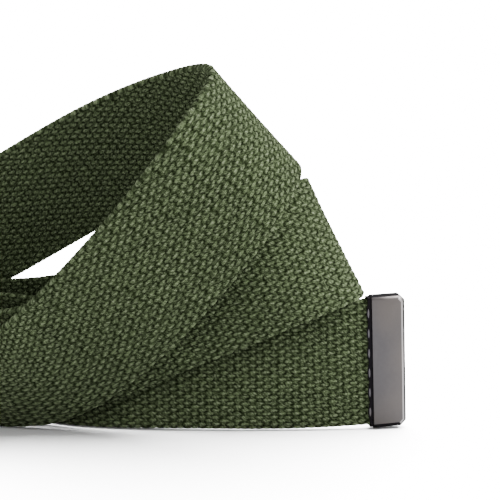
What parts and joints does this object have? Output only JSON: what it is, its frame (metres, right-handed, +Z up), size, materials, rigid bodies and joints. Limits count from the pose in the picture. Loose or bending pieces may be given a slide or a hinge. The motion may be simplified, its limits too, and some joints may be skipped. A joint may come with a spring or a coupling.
{
  "type": "canvas web belt",
  "caption": "Canvas web belt loosely coiled on its edge, with a folded sheet-metal end tip and a plain box buckle.",
  "frame": {"origin": "middle of the coiled belt's footprint, at the height of the surface it stands on", "axes": "+Z up, +X along the coil towards the end tip, +Y away from the front, so the buckle's face looks along -Y"},
  "size_m": [0.2704, 0.0802, 0.1062],
  "materials": {
    "webbing": "plain-woven cotton webbing, olive green, matt",
    "tip_metal": "satin gunmetal",
    "buckle_metal": "satin gunmetal"
  },
  "bodies": {
    "root": {"webbing_strap": "webbing", "end_tip": "tip_metal", "box_buckle": "buckle_metal"}
  },
  "joints": []
}
